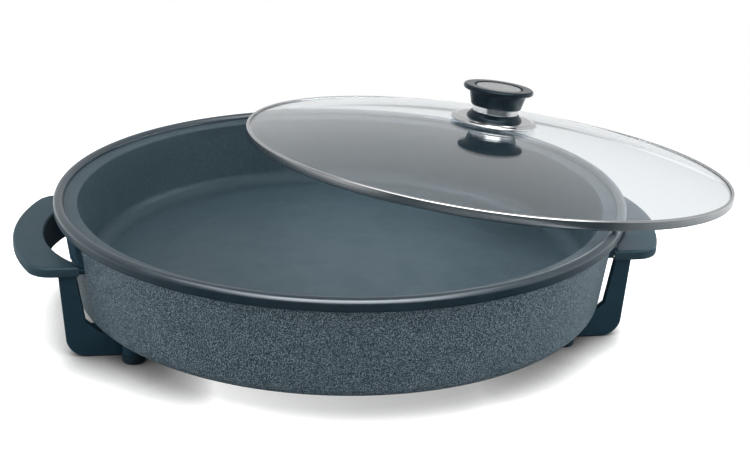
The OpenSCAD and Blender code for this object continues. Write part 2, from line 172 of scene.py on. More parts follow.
# one material: a Principled shader, with the nodes that feed it
class Finish:
    def __init__(self, name, **settings):
        self.material = bpy.data.materials.new(name)
        self.material.use_nodes = True
        self.tree = self.material.node_tree
        self.shader = self.tree.nodes["Principled BSDF"]
        self.place = self.tree.nodes.new("ShaderNodeTexCoord").outputs["Object"]
        for key, value in settings.items():
            self.shader.inputs[key.replace("_", " ")].default_value = value

    def add(self, kind, links=(), **values):
        node = self.tree.nodes.new(kind)
        for key, value in values.items():
            setattr(node, key, value)
        for socket, value in dict(links).items():
            if isinstance(value, bpy.types.NodeSocket):
                self.tree.links.new(value, node.inputs[socket])
            else:
                node.inputs[socket].default_value = value
        return node

    # scale, detail and roughness of the noise
    def noise(self, scale, detail, rough, source=None, distort=0.0):
        return self.add("ShaderNodeTexNoise", {
            "Vector": source or self.place, "Scale": scale, "Detail": detail, "Roughness": rough,
            "Distortion": distort}).outputs["Fac"]

    def ramp(self, value, stops):
        node = self.add("ShaderNodeValToRGB", {"Fac": value})
        node.color_ramp.elements.remove(node.color_ramp.elements[1])
        for index, (at, tint) in enumerate(stops):
            stop = node.color_ramp.elements[0] if index == 0 else node.color_ramp.elements.new(at)
            stop.position = at
            stop.color = (*tint, 1)
        return node.outputs["Color"]

    def span(self, value, low, high, outLow, outHigh):
        return self.add("ShaderNodeMapRange", {
            "Value": value, "From Min": low, "From Max": high,
            "To Min": outLow, "To Max": outHigh}).outputs["Result"]

    def math(self, operation, first, second=0.0):
        return self.add("ShaderNodeMath", {0: first, 1: second},
                        operation=operation).outputs["Value"]

    def times(self, first, second):
        return self.math("MULTIPLY", first, second)

    def shared(self, first, second, share):
        return self.math("ADD", self.times(first, share), self.times(second, 1 - share))

    def axes(self, source):
        return self.add("ShaderNodeSeparateXYZ", {"Vector": source}).outputs

    def mapped(self, source, **settings):
        return self.add("ShaderNodeMapping", {"Vector": source, **settings}).outputs["Vector"]

    # the place as a turned part has it, with z along its own axis
    def turned(self, matrix):
        spot = matrix.to_translation() * meshing["toMetres"]
        return self.mapped(self.place, Location=spot, Rotation=matrix.to_euler())

    # rings round the axis: noise read by radius and height only
    def rings(self, source, fine):
        parts = self.axes(source)
        radius = self.math("SQRT", self.math("ADD", self.times(parts["X"], parts["X"]),
                                             self.times(parts["Y"], parts["Y"])))
        across = self.add("ShaderNodeCombineXYZ", {"X": radius, "Y": parts["Z"]}).outputs["Vector"]
        return self.noise(1.0, 2, 0.6, self.mapped(across, Scale=(fine, fine, 1.0)))

    def feed(self, socket, value):
        self.tree.links.new(value, self.shader.inputs[socket])

    def colour(self, value, stops):
        self.feed("Base Color", self.ramp(value, stops))

    # most of a noise lies between 0.3 and 0.7
    def roughness(self, value, low, high):
        self.feed("Roughness", self.span(value, 0.3, 0.7, low, high))

    def relief(self, value, strength, distance):
        self.feed("Normal", self.add("ShaderNodeBump", {
            "Height": value, "Strength": strength, "Distance": distance}).outputs["Normal"])

    def choose(self, test, no, yes):
        return self.add("ShaderNodeMixShader", {0: test, 1: no, 2: yes}).outputs["Shader"]

    def showInstead(self, shader):
        self.tree.links.new(shader, self.tree.nodes["Material Output"].inputs["Surface"])


# hammertone lacquer on the housing: worm-like flecks over a dark blue-grey
hammertoneLook = {"dark": (0.008, 0.020, 0.029), "mid": (0.022, 0.041, 0.054),
                  "light": (0.185, 0.230, 0.255), "stops": (0.42, 0.50, 0.60),
                  "flecks": (1360, 2, 0.5), "fleckTwist": 0.5, "fleckShare": 0.72,
                  "grain": (2100, 2, 0.5), "rough": (0.32, 0.46), "relief": (0.7, 0.0005)}


def hammertoneFinish():
    look = hammertoneLook
    f = Finish("hammertone", Metallic=0.12, Specular_IOR_Level=1.0,
               Specular_Tint=(0.75, 0.9, 1.0, 1), Coat_Weight=0.18, Coat_Roughness=0.28)
    flecks = f.noise(*look["flecks"], distort=look["fleckTwist"])
    grain = f.noise(*look["grain"])
    blend = f.shared(flecks, grain, look["fleckShare"])
    f.colour(blend, zip(look["stops"], (look["dark"], look["mid"], look["light"])))
    f.roughness(grain, *look["rough"])
    f.relief(blend, *look["relief"])
    return f.material


# satin slate enamel on the rolled rim
rimLook = {"low": (0.002, 0.009, 0.014), "high": (0.003, 0.012, 0.018), "stops": (0.35, 0.65),
           "mottle": (55, 4, 0.55), "dust": (2600, 2, 0.5), "rough": (0.32, 0.40),
           "relief": (0.06, 0.0002)}


def rimFinish():
    look = rimLook
    f = Finish("rimEnamel", Specular_IOR_Level=1.0, Specular_Tint=(0.93, 0.95, 1.0, 1),
               Coat_Weight=0.6, Coat_Roughness=0.14, Coat_Tint=(0.85, 0.95, 1.0, 1))
    mottle = f.noise(*look["mottle"])
    f.colour(mottle, zip(look["stops"], (look["low"], look["high"])))
    f.roughness(mottle, *look["rough"])
    f.relief(f.noise(*look["dust"]), *look["relief"])
    return f.material


# dark non-stick coating of the bowl, with pale specks and the fine rings of a turned floor
nonstickLook = {"dark": (0.022, 0.037, 0.046), "mid": (0.028, 0.046, 0.056),
                "fleck": (0.10, 0.125, 0.14), "stops": (0.42, 0.58, 0.72), "rings": 900,
                "speck": (1700, 2, 0.5), "speckHeight": 0.6, "mottle": (38, 4, 0.6),
                "rough": (0.36, 0.48), "relief": (0.12, 0.0003)}


def nonstickFinish():
    look = nonstickLook
    f = Finish("nonstick", Specular_IOR_Level=0.3, Specular_Tint=(0.75, 0.9, 1.0, 1))
    speck = f.noise(*look["speck"])
    f.colour(speck, zip(look["stops"], (look["dark"], look["mid"], look["fleck"])))
    f.roughness(f.noise(*look["mottle"]), *look["rough"])
    height = f.math("ADD", f.rings(f.place, look["rings"]), f.times(speck, look["speckHeight"]))
    f.relief(height, *look["relief"])
    return f.material


# moulded phenolic: matt, with a slight grain and rubbed patches
phenolicLook = {"stops": (0.34, 0.66), "cloud": (42, 4, 0.6), "grain": (2300, 2, 0.5),
                "relief": (0.16, 0.0003)}


def phenolicFinish(name, low, high, rough, shine):
    look = phenolicLook
    f = Finish(name, Specular_IOR_Level=shine, Specular_Tint=(0.7, 0.88, 1.0, 1))
    cloud = f.noise(*look["cloud"])
    f.colour(cloud, zip(look["stops"], (low, high)))
    f.roughness(cloud, *rough)
    f.relief(f.noise(*look["grain"]), *look["relief"])
    return f.material


rubberLook = {"low": (0.006, 0.014, 0.020), "high": (0.012, 0.022, 0.030), "stops": (0.35, 0.68),
              "wear": (130, 3, 0.6), "grain": (1400, 3, 0.6), "rough": (0.70, 0.86),
              "relief": (0.3, 0.0004)}


def rubberFinish():
    look = rubberLook
    f = Finish("footRubber", Specular_IOR_Level=0.15)
    wear = f.noise(*look["wear"])
    f.colour(wear, zip(look["stops"], (look["low"], look["high"])))
    f.roughness(wear, *look["rough"])
    f.relief(f.noise(*look["grain"]), *look["relief"])
    return f.material


# bare metals: fine scratches along one way, or rings round the lid's own axis
metalLook = {"stops": (0.35, 0.65), "scratches": (1400, 1400, 60), "cloud": (70, 3, 0.5),
             "streakShare": 0.7, "reliefDistance": 0.0002}


def metalFinish(name, low, high, rough, rings=None, strength=0.08):
    look = metalLook
    f = Finish(name, Metallic=1.0)
    if rings:
        streak = f.rings(f.turned(lidBack), rings)
    else:
        streak = f.noise(1.0, 2, 0.6, f.mapped(f.place, Scale=look["scratches"]))
    f.colour(f.shared(streak, f.noise(*look["cloud"]), look["streakShare"]),
             zip(look["stops"], (low, high)))
    f.roughness(streak, *rough)
    f.relief(streak, strength, look["reliefDistance"])
    return f.material


ceramicLook = {"low": (0.56, 0.50, 0.40), "high": (0.68, 0.63, 0.54), "stops": (0.3, 0.7),
               "cloud": (160, 4, 0.6), "grain": (1500, 2, 0.5), "rough": (0.55, 0.72),
               "relief": (0.25, 0.0003)}


def ceramicFinish():
    look = ceramicLook
    f = Finish("ceramicBlock")
    cloud = f.noise(*look["cloud"])
    f.colour(cloud, zip(look["stops"], (look["low"], look["high"])))
    f.roughness(cloud, *look["rough"])
    f.relief(f.noise(*look["grain"]), *look["relief"])
    return f.material


# clear glass that lets the lamps' light through to what is under it
glassLook = {"waves": (9, 2, 0.5), "relief": (0.02, 0.0004), "shadow": (0.80, 0.82, 0.83, 1)}


def glassFinish(name, tint, rough):
    look = glassLook
    f = Finish(name, Base_Color=(*tint, 1), Transmission_Weight=1.0, IOR=1.5, Roughness=rough)
    f.relief(f.noise(*look["waves"]), *look["relief"])
    clear = f.add("ShaderNodeBsdfTransparent", {"Color": look["shadow"]}).outputs["BSDF"]
    shadowRay = f.add("ShaderNodeLightPath").outputs["Is Shadow Ray"]
    f.showInstead(f.choose(shadowRay, f.shader.outputs["BSDF"], clear))
    return f.material


hammertone = hammertoneFinish()
rimEnamel = rimFinish()
nonstick = nonstickFinish()
handleBlack = phenolicFinish("handlePhenolic", (0.015, 0.031, 0.041), (0.019, 0.037, 0.048),
                             rough=(0.38, 0.50), shine=0.25)
legBlack = phenolicFinish("legPhenolic", (0.008, 0.023, 0.035), (0.010, 0.028, 0.042),
                          rough=(0.44, 0.56), shine=0.2)
knobBlack = phenolicFinish("knobPhenolic", (0.004, 0.009, 0.013), (0.007, 0.013, 0.018),
                           rough=(0.10, 0.16), shine=0.22)
footRubber = rubberFinish()
plateSteel = metalFinish("plateSteel", (0.30, 0.31, 0.32), (0.46, 0.47, 0.48), (0.30, 0.42))
screwSteel = metalFinish("screwSteel", (0.42, 0.43, 0.44), (0.56, 0.57, 0.57), (0.26, 0.38))
heaterTube = metalFinish("heaterTube", (0.10, 0.09, 0.085), (0.19, 0.17, 0.16), (0.42, 0.56))
contactMetal = metalFinish("contactMetal", (0.58, 0.57, 0.53), (0.70, 0.69, 0.65), (0.14, 0.24))
bandSteel = metalFinish("bandSteel", (0.50, 0.51, 0.52), (0.62, 0.63, 0.64), (0.13, 0.19),
                        rings=1600, strength=0.04)
chrome = metalFinish("chrome", (0.66, 0.67, 0.68), (0.72, 0.73, 0.74), (0.09, 0.13),
                     rings=700, strength=0.015)
discSteel = metalFinish("discSteel", (0.50, 0.52, 0.54), (0.66, 0.68, 0.69), (0.20, 0.30),
                        rings=2400, strength=0.10)
ceramicBlock = ceramicFinish()
lidGlassFinish = glassFinish("lidGlass", (0.90, 0.945, 0.975), 0.0)
washerClear = glassFinish("washerClear", (0.93, 0.95, 0.95), 0.25)
print("finishes ready")

# the housing's wall leans out by slope for each millimetre up
housing = {"topRadius": 204.1, "topHeight": 90.7, "slope": 0.128, "underside": 21.0, "corner": 8.0,
           "cornerTopRadius": 196.2, "innerCorner": 6.2, "openingRadius": 172.0, "wall": 1.6,
           "floorWall": 1.44, "steps": 200}


def wallRadius(z, grown=0.0):
    # the outside radius at a height, with the rounded bottom corner
    low, corner, widest = housing["underside"], housing["corner"], housing["cornerTopRadius"]
    if z < low + corner:
        reach = (corner + grown) ** 2 - (low + corner - z) ** 2
        return widest - corner + math.sqrt(max(reach, 0.0))
    return widest + (z - low - corner) * housing["slope"] + grown


def makeHousing():
    top, low, wall = housing["topHeight"], housing["underside"], housing["wall"]
    outside = housing["topRadius"] - (top - low) * housing["slope"]
    inside = outside - housing["floorWall"]
    profile = [(housing["topRadius"], top), (outside, low), (housing["openingRadius"], low),
               (housing["openingRadius"], low + wall), (inside, low + wall),
               (housing["topRadius"] - wall, top)]
    bm = lathe(profile, [(outside, low, housing["corner"], 8),
                         (inside, low + wall, housing["innerCorner"], 6)], housing["steps"])
    addPiece("housingShell", bm, "pan", hammertone, ["body_shell"])


# the bead's two rounds leave a sliver of flat between them
rim = {"outer": 210.0, "top": 97.2, "bead": 7.5, "beadRound": 3.74, "bandBottom": 88.2,
       "bandInner": 205.2, "ledge": 93.2, "edge": 1.2, "steps": 200}


def makeRim():
    outer, top, low, ledge = rim["outer"], rim["top"], rim["bandBottom"], rim["ledge"]
    inner = outer - rim["bead"]
    profile = [(rim["bandInner"], low), (outer, low), (outer, top), (inner, top), (inner, ledge),
               (rim["bandInner"], ledge)]
    bm = lathe(profile, [(outer, top, rim["beadRound"], 8), (inner, top, rim["beadRound"], 8),
                         (outer, low, rim["edge"], 4), (rim["bandInner"], low, rim["edge"], 3)],
               rim["steps"])
    addPiece("rolledRim", bm, "pan", rimEnamel, ["rim_ring"])


# the flange seats a hair under the rim's ledge; a low ring is pressed into the floor
bowl = {"floor": 40.0, "underFloor": 36.0, "floorRadius": 185.0, "fillet": 10.0, "wall": 3.0,
        "ledgeRadius": 193.0, "ledgeDrop": 1.2, "ledgeRound": 1.0, "flangeInner": 202.3,
        "flange": 205.1, "seat": 0.05, "flangeThick": 2.4, "underBend": (189.4, 46.0),
        "ringInner": 118.0, "ringOuter": 132.0, "ringSlope": 3.0, "ringRise": 0.5, "steps": 200}


def makeBowl():
    high, floor = rim["ledge"], bowl["floor"]
    ringTop, slope = floor + bowl["ringRise"], bowl["ringSlope"]
    ledge = (bowl["ledgeRadius"], high - bowl["ledgeDrop"])
    flangeTop, flangeLow = high - bowl["seat"], high - bowl["flangeThick"]
    profile = [(0, floor), (bowl["ringInner"], floor), (bowl["ringInner"] + slope, ringTop),
               (bowl["ringOuter"] - slope, ringTop), (bowl["ringOuter"], floor),
               (bowl["floorRadius"], floor), ledge, (bowl["flangeInner"], flangeTop),
               (bowl["flange"], flangeTop), (bowl["flange"], flangeLow),
               (bowl["ledgeRadius"] + bowl["wall"], flangeLow), bowl["underBend"],
               (bowl["floorRadius"] - bowl["wall"], bowl["underFloor"]), (0, bowl["underFloor"])]
    bm = lathe(profile, [(bowl["floorRadius"], floor, bowl["fillet"], 8),
                         (*ledge, bowl["ledgeRound"], 3)], bowl["steps"], closed=False)
    addPiece("innerBowl", bm, "pan", nonstick, ["pan_bowl"])


makeHousing()
makeRim()
makeBowl()
print("pan ready")

# a loop handle: outer arc, two rounded corners, short ends beside the wall, and the grip's arc
handle = {"top": 69.6, "thick": 7.8, "reach": 239.5, "bigRadius": 163.0, "halfLength": 76.0,
          "corner": 18.0, "gripRadius": 103.0, "gripReach": 217.5, "endGap": 3.6, "edge": 2.2,
          "outerSteps": 40, "cornerSteps": 14, "endSteps": 4, "gripSteps": 56}
# the curtain hangs under the grip's inner edge; its ends are half lengths at the bottom and the top
curtain = {"thick": 5.4, "top": 66.5, "bottom": 44.6, "rear": (52.0, 55.9), "front": (29.0, 55.9),
           "sweep": 74, "steps": 44, "edge": 1.1, "sharpFrom": 1.0}


def makeLoop():
    bm = bmesh.new()
    base = handle["top"] - handle["thick"]
    half, corner = handle["halfLength"], handle["corner"]
    bigR, gripR = handle["bigRadius"], handle["gripRadius"]
    bigX = handle["reach"] - bigR
    gripX = handle["gripReach"] - gripR
    cornerY = half - corner
    cornerX = bigX + math.sqrt((bigR - corner) ** 2 - cornerY ** 2)
    endR = wallRadius(handle["top"]) + handle["endGap"]
    endX = math.sqrt(endR ** 2 - half ** 2)
    meetX = (endR ** 2 - gripR ** 2 + gripX ** 2) / (2 * gripX)
    meetY = math.sqrt(endR ** 2 - meetX ** 2)
    wedge = math.atan2(cornerY, cornerX - bigX)
    wedgeDegrees = math.degrees(wedge)
    gripSweep = math.degrees(math.atan2(meetY, meetX - gripX))
    endSweep = math.degrees(math.atan2(half, endX) - math.atan2(meetY, meetX))
    sweepArc(bm, (meetX, -meetY, base), (gripX, 0, base), 2 * gripSweep, handle["gripSteps"])
    for side in (1, -1):
        sweepArc(bm, (meetX, side * meetY, base), (0, 0, base), side * endSweep, handle["endSteps"])
        sweepArc(bm, (cornerX, side * half, base), (cornerX, side * cornerY, base),
                 -side * (90 - wedgeDegrees), handle["cornerSteps"])
        bm.edges.new([bm.verts.new((x, side * half, base)) for x in (endX, cornerX)])
    sweepArc(bm, (bigX + bigR * math.cos(wedge), -bigR * math.sin(wedge), base), (bigX, 0, base),
             2 * wedgeDegrees, handle["outerSteps"])
    joinEnds(bm)
    bmesh.ops.contextual_create(bm, geom=bm.edges[:])
    grown = bmesh.ops.extrude_face_region(bm, geom=bm.faces[:])["geom"]
    bmesh.ops.translate(bm, vec=(0, 0, handle["thick"]), verts=onlyVerts(grown))
    bmesh.ops.recalc_face_normals(bm, faces=bm.faces[:])
    bevelEdges(bm, levelEdges(bm, 2), handle["edge"], 5)
    return bm


def makeCurtain():
    gripX = handle["gripReach"] - handle["gripRadius"]
    low, high, sweep = curtain["bottom"], curtain["top"], math.radians(curtain["sweep"])
    inner, outer = handle["gripRadius"], handle["gripRadius"] + curtain["thick"]
    bm = bmesh.new()
    strip = chain(bm, [(inner, low), (outer, low), (outer, high), (inner, high)])
    start = Matrix.Rotation(-sweep / 2, 3, "Z")
    bmesh.ops.rotate(bm, cent=(0, 0, 0), matrix=start, verts=bm.verts[:])
    bmesh.ops.translate(bm, vec=(gripX, 0, 0), verts=bm.verts[:])
    bmesh.ops.spin(bm, geom=strip, cent=(gripX, 0, 0), axis=(0, 0, 1),
                   angle=sweep, steps=curtain["steps"])
    for side, (halfLow, halfTop) in ((1, curtain["rear"]), (-1, curtain["front"])):
        lean = Vector((0, side * (high - low), halfLow - halfTop))
        whole = bm.verts[:] + bm.edges[:] + bm.faces[:]
        cut = bmesh.ops.bisect_plane(bm, geom=whole, dist=0.001, plane_no=lean,
                                     plane_co=(0, side * halfLow, low), clear_outer=True)
        cutEdges = [e for e in cut["geom_cut"] if isinstance(e, bmesh.types.BMEdge)]
        bmesh.ops.contextual_create(bm, geom=cutEdges)
    tidyMesh(bm)
    # the top edges lie inside the grip and stay sharp
    belowTop = high - 0.1
    sharpEdges = [e for e in bm.edges if len(e.link_faces) == 2
                  and e.calc_face_angle(0) > curtain["sharpFrom"]
                  and min(v.co.z for v in e.verts) < belowTop]
    bevelEdges(bm, sharpEdges, curtain["edge"], 3)
    return bm


def makeHandles():
    right = makeLoop()
    joinInto(right, makeCurtain())
    left = flipped(right, (-1, 1, 1))
    addPiece("handleLoopRight", right, "pan", handleBlack, ["handle_right"])
    addPiece("handleLoopLeft", left, "pan", handleBlack, ["handle_left"])


makeHandles()
print("handles ready")

# a leg: a plate with a rail at its foot, thicker low down, with a web and an arm to the foot's boss
leg = {"outerFace": 72.0, "upright": 6.0, "thick": 14.0, "overlap": 1.6, "top": 61.7,
       "thickTop": 20.2, "heights": (22.0, 24.5, 27.0, 31.0, 40.0, 50.0), "innerTop": 193.0,
       "outerTop": 204.9,
       "outerLow": 201.6, "corner": 14.0, "bottom": 0.6, "railTop": 17.6, "railIn": 146.0,
       "railStart": 177.0, "railLip": 1.5, "kneeX": 187.6, "kneeZ": 27.0, "gap": 1.2, "edge": 0.9,
       "webPlace": (160, 62, 17.0), "webSides": (28, 12, 4.5), "blockEdge": 0.6}
foot = {"x": 155.0, "y": 80.0, "radius": 8.4, "height": 6.0, "recess": 4.0, "recessTop": 2.4,
        "edge": 0.9, "recessEdge": 0.5, "topEdge": 0.4, "steps": 56}
boss = {"radius": 7.8, "low": 5.5, "top": 17.6, "edge": 1.0, "armIn": 2.0, "steps": 48}


def legInside(z, y):
    # the upright's inner edge: its own line, or the housing's wall where that stands further out
    if z > leg["kneeZ"]:
        slope = (leg["innerTop"] - leg["kneeX"]) / (leg["top"] - leg["kneeZ"])
    else:
        slope = (leg["kneeX"] - leg["railStart"]) / (leg["kneeZ"] - leg["railTop"])
    line = leg["kneeX"] + (z - leg["kneeZ"]) * slope
    wall = math.sqrt(wallRadius(z, leg["gap"]) ** 2 - y ** 2)
    return max(line, wall)


def legOutline(bm, y, heights):
    cornerTop, outerLow, top = leg["bottom"] + leg["corner"], leg["outerLow"], heights[-1]
    turnX = outerLow - leg["corner"]
    lean = (leg["outerTop"] - outerLow) / (leg["top"] - cornerTop)
    points = [(turnX, leg["bottom"]), (leg["railIn"], leg["bottom"]),
              (leg["railIn"], leg["railTop"]), (leg["railStart"] - leg["railLip"], leg["railTop"])]
    points += [(legInside(z, y), z) for z in heights]
    points += [(outerLow + (top - cornerTop) * lean, top), (outerLow, cornerTop)]
    made = chain(bm, points, closed=False)
    bmesh.ops.translate(bm, vec=(0, y, 0), verts=onlyVerts(made))
    sweepArc(bm, (outerLow, y, cornerTop), (turnX, y, cornerTop), 90, 10, (0, 1, 0))


def legSlab(near, far, heights):
    bm = bmesh.new()
    for y in (near, far):
        legOutline(bm, y, heights)
    joinEnds(bm)
    loops = bm.edges[:]
    for y in (near, far):
        loop = [e for e in loops if abs(e.verts[0].co.y - y) < meshing["level"]]
        bmesh.ops.contextual_create(bm, geom=loop)
    bmesh.ops.bridge_loops(bm, edges=loops)
    bmesh.ops.recalc_face_normals(bm, faces=bm.faces[:])
    bevelEdges(bm, levelEdges(bm, 1), leg["edge"], 3)
    return bm


def makeBlock(middle, sides):
    bm = bmesh.new()
    bmesh.ops.create_cube(bm, size=1)
    bmesh.ops.scale(bm, vec=sides, verts=bm.verts[:])
    bmesh.ops.translate(bm, vec=middle, verts=bm.verts[:])
    bevelEdges(bm, bm.edges[:], leg["blockEdge"], 3)
    return bm


def makeBoss():
    r, low, top = boss["radius"], boss["low"], boss["top"]
    bm = lathe([(0, low), (r, low), (r, top), (0, top)], [(r, top, boss["edge"], 3)],
               boss["steps"], closed=False)
    bmesh.ops.translate(bm, vec=(foot["x"], foot["y"], 0), verts=bm.verts[:])
    return bm


def makeLeg():
    far, plate = leg["outerFace"], leg["outerFace"] - leg["upright"]
    bm = legSlab(plate, far, [leg["thickTop"], *leg["heights"], leg["top"]])
    joinInto(bm, legSlab(far - leg["thick"], plate + leg["overlap"], [leg["thickTop"]]))
    joinInto(bm, makeBlock(leg["webPlace"], leg["webSides"]))
    start, tall = far - boss["armIn"], boss["top"] - foot["height"]
    reach = foot["y"] - start
    joinInto(bm, makeBlock((foot["x"], start + reach / 2, foot["height"] + tall / 2),
                           (2 * boss["radius"], reach, tall)))
    joinInto(bm, makeBoss())
    return bm


def makeFoot():
    r, high, recess, recessTop = foot["radius"], foot["height"], foot["recess"], foot["recessTop"]
    profile = [(0, recessTop), (recess, recessTop), (recess, 0), (r, 0), (r, high), (0, high)]
    bm = lathe(profile, [(r, 0, foot["edge"], 4), (recess, 0, foot["recessEdge"], 3),
                         (r, high, foot["topEdge"], 2)], foot["steps"], closed=False)
    bmesh.ops.translate(bm, vec=(foot["x"], foot["y"], 0), verts=bm.verts[:])
    return bm


# the leg and the foot are made for the right rear and flipped to the other corners
def makeLegs():
    legShape, footShape = makeLeg(), makeFoot()
    for end, endSign in (("rear", 1), ("front", -1)):
        for side, sideSign in (("right", 1), ("left", -1)):
            axes = (sideSign, endSign, 1)
            corner, node = end.title() + side.title(), end + "_" + side
            addPiece("leg" + corner, flipped(legShape, axes), "pan", legBlack,
                     ["leg_" + node])
            addPiece("foot" + corner, flipped(footShape, axes), "pan", footRubber,
                     ["foot_" + node])
    legShape.free()
    footShape.free()


makeLegs()
print("legs ready")

# the lid's pieces are made upright round z, then laid in place by lidPlace
glass = {"radius": 196.25, "hole": 4.2, "edgeLow": 2.6, "edgeAt": 194.0, "rise": 23.9, "thick": 4.0,
         "arcSteps": 40, "steps": 180}
band = {"outer": 197.9, "inner": 193.3, "wall": 196.35, "high": 7.6, "lipInner": 195.5,
        "lipLow": 6.6, "lipSlope": 0.15, "shelf": 2.2, "shelfRise": 0.4, "footRound": 1.5,
        "innerRound": 0.9, "topRound": 1.2, "lipRound": 0.5, "steps": 220}


def domeArc(bm, sphereRadius, centre, start, stop, steps):
    first = math.asin(start / sphereRadius)
    last = math.asin(stop / sphereRadius)
    begin = (sphereRadius * math.sin(first), 0, centre + sphereRadius * math.cos(first))
    sweepArc(bm, begin, (0, 0, centre), math.degrees(last - first), steps, (0, 1, 0))


def makeGlass():
    inner = (glass["edgeAt"] ** 2 + glass["rise"] ** 2) / (2 * glass["rise"])
    centre = glass["edgeLow"] + glass["rise"] - inner
    bm = bmesh.new()
    for sphereRadius in (inner, inner + glass["thick"]):
        domeArc(bm, sphereRadius, centre, glass["hole"], glass["radius"], glass["arcSteps"])
    ends = [v for v in bm.verts if len(v.link_edges) == 1]
    for at in (glass["hole"], glass["radius"]):
        bm.edges.new([v for v in ends if abs(v.co.x - at) < 0.5])
    bmesh.ops.spin(bm, geom=bm.verts[:] + bm.edges[:], cent=(0, 0, 0), axis=(0, 0, 1),
                   angle=2 * math.pi, steps=glass["steps"], use_merge=True)
    tidyMesh(bm)
    addPiece("lidGlassDome", bm, "lid", lidGlassFinish, ["lid_glass"], lidPlace,
             weighted=False)


def makeBand():
    outer, inner, lip = band["outer"], band["inner"], band["lipInner"]
    wall, high = band["wall"], band["high"]
    profile = [(inner, 0), (outer, 0), (outer, high), (lip, high), (lip, band["lipLow"]),
               (wall, band["lipLow"] - band["lipSlope"]), (wall, band["shelf"]),
               (inner, band["shelf"] + band["shelfRise"])]
    bm = lathe(profile, [(outer, 0, band["footRound"], 5), (inner, 0, band["innerRound"], 4),
                         (outer, high, band["topRound"], 5), (lip, high, band["lipRound"], 3)],
               band["steps"])
    addPiece("lidBandSteel", bm, "lid", bandSteel, ["lid_band"], lidPlace)


makeGlass()
makeBand()

# from the glass up: chrome flange, dark skirt, chrome neck, dark grip with a lip, steel disc on top
knobBore = 3.2
flange = {"low": 31.3, "high": 34.5, "radius": 35.0, "edgeHigh": 33.2, "step": 30.6,
          "shoulder": (31.3, 33.75), "edge": 0.8, "stepEdge": 0.35}
skirt = {"wide": 22.5, "narrow": 19.2, "wideTop": 35.7, "top": 39.3, "wideEdge": 0.7,
         "narrowEdge": 0.6}
neck = {"radius": 18.4}
grip = {"low": 43.8, "high": 60.3, "foot": 20.2, "waist": 23.2, "lip": 28.3, "lipThick": 4.2,
        "lipRound": 1.9, "underLip": 26.7, "lipSlope": 0.9, "waistDrop": 0.6, "recess": 19.4,
        "recessDeep": 1.6, "footEdge": 0.7, "waistEdge": 1.2, "lipEdge": 0.8}
disc = {"radius": 18.0, "thick": 1.1, "middleThick": 1.3, "edge": 0.5}


def addKnobPiece(name, profile, rounds, steps, finish, node, closed=True):
    addPiece(name, lathe(profile, rounds, steps, closed), "lid", finish, [node], lidPlace)


def makeFlange():
    low, high, edgeHigh = flange["low"], flange["high"], flange["edgeHigh"]
    r, step, edge = flange["radius"], flange["step"], flange["edge"]
    profile = [(knobBore, low), (r, low), (r, edgeHigh), flange["shoulder"], (step, high),
               (knobBore, high)]
    rounds = [(r, edgeHigh, edge, 4), (r, low, edge, 4), (step, high, flange["stepEdge"], 3)]
    addKnobPiece("knobFlangeChrome", profile, rounds, 128, chrome, "knob_flange")


def makeSkirt():
    low, top, wide, narrow = flange["high"], skirt["top"], skirt["wide"], skirt["narrow"]
    profile = [(knobBore, low), (wide, low), (wide, skirt["wideTop"]), (narrow, top),
               (knobBore, top)]
    rounds = [(wide, skirt["wideTop"], skirt["wideEdge"], 4), (narrow, top, skirt["narrowEdge"], 3)]
    addKnobPiece("knobSkirtBlack", profile, rounds, 112, knobBlack, "knob_skirt")


def makeNeck():
    low, high, r = skirt["top"], grip["low"], neck["radius"]
    profile = [(knobBore, low), (r, low), (r, high), (knobBore, high)]
    addKnobPiece("knobNeckChrome", profile, [], 112, chrome, "knob_neck")


def makeGrip():
    low, top, lip, recess = grip["low"], grip["high"], grip["lip"], grip["recess"]
    under, floor = top - grip["lipThick"], top - grip["recessDeep"]
    waist, lipLow = (grip["waist"], under - grip["waistDrop"]), (lip, under + grip["lipSlope"])
    profile = [(knobBore, low), (grip["foot"], low), waist, (grip["underLip"], under), lipLow,
               (lip, top), (recess, top), (recess, floor), (knobBore, floor)]
    rounds = [(grip["foot"], low, grip["footEdge"], 3), (*waist, grip["waistEdge"], 4),
              (lip, top, grip["lipRound"], 7), (grip["underLip"], under, grip["lipEdge"], 3),
              (*lipLow, grip["lipEdge"], 3), (recess, top, grip["waistEdge"], 4)]
    addKnobPiece("knobGripBlack", profile, rounds, 128, knobBlack, "knob_grip")


def makeDisc():
    floor, r = grip["high"] - grip["recessDeep"], disc["radius"]
    top = floor + disc["thick"]
    profile = [(0, floor), (r, floor), (r, top), (0, floor + disc["middleThick"])]
    addKnobPiece("knobDiscSteel", profile, [(r, top, disc["edge"], 3)], 112, discSteel,
                 "knob_disc", closed=False)


makeFlange()
makeSkirt()
makeNeck()
makeGrip()
makeDisc()
print("lid ready")

# small solids that stay as the frame has them
keptFinishes = {
    "base_cover": plateSteel, "cover_screws": screwSteel, "heating_element": heaterTube,
    "element_clips": plateSteel, "element_studs": screwSteel, "inlet_insulator": ceramicBlock,
    "inlet_pins": contactMetal, "probe_guide": contactMetal, "inlet_collar": legBlack,
    "collar_screws": screwSteel, "handle_pads": legBlack, "handle_screws": screwSteel,
    "leg_screws": screwSteel, "foot_screws": screwSteel, "lid_washer_upper": washerClear,
    "lid_washer_lower": footRubber, "knob_screw": screwSteel,
}
for name, finish in keptFinishes.items():
    mesh = nodes[name].data
    mesh.materials.clear()
    mesh.materials.append(finish)
print("kept nodes finished")

# white paper that fades into the plain background between two distances from the pan, in metres
floorLook = {"radius": 6.0, "segments": 64, "white": 0.72, "rough": 0.9, "glow": 0.80,
             "fade": (0.36, 0.56)}
# painted contact shade, drawn from an ambient-occlusion node into the paper's colour: its spread on
# each side, as (from x, to x, spread, spread), and how deep it gets
paintedShadeLook = {"left": (-0.10, -0.20, 0.0215, 0.057), "middle": (-0.12, 0.06, 0.0215, 0.0268),
             "right": (0.04, 0.20, 0.022, 0.043), "open": 0.88, "samples": 16, "offset": 0.02,
             "deepen": (0.06, 0.18, 1.6, 2.2)}
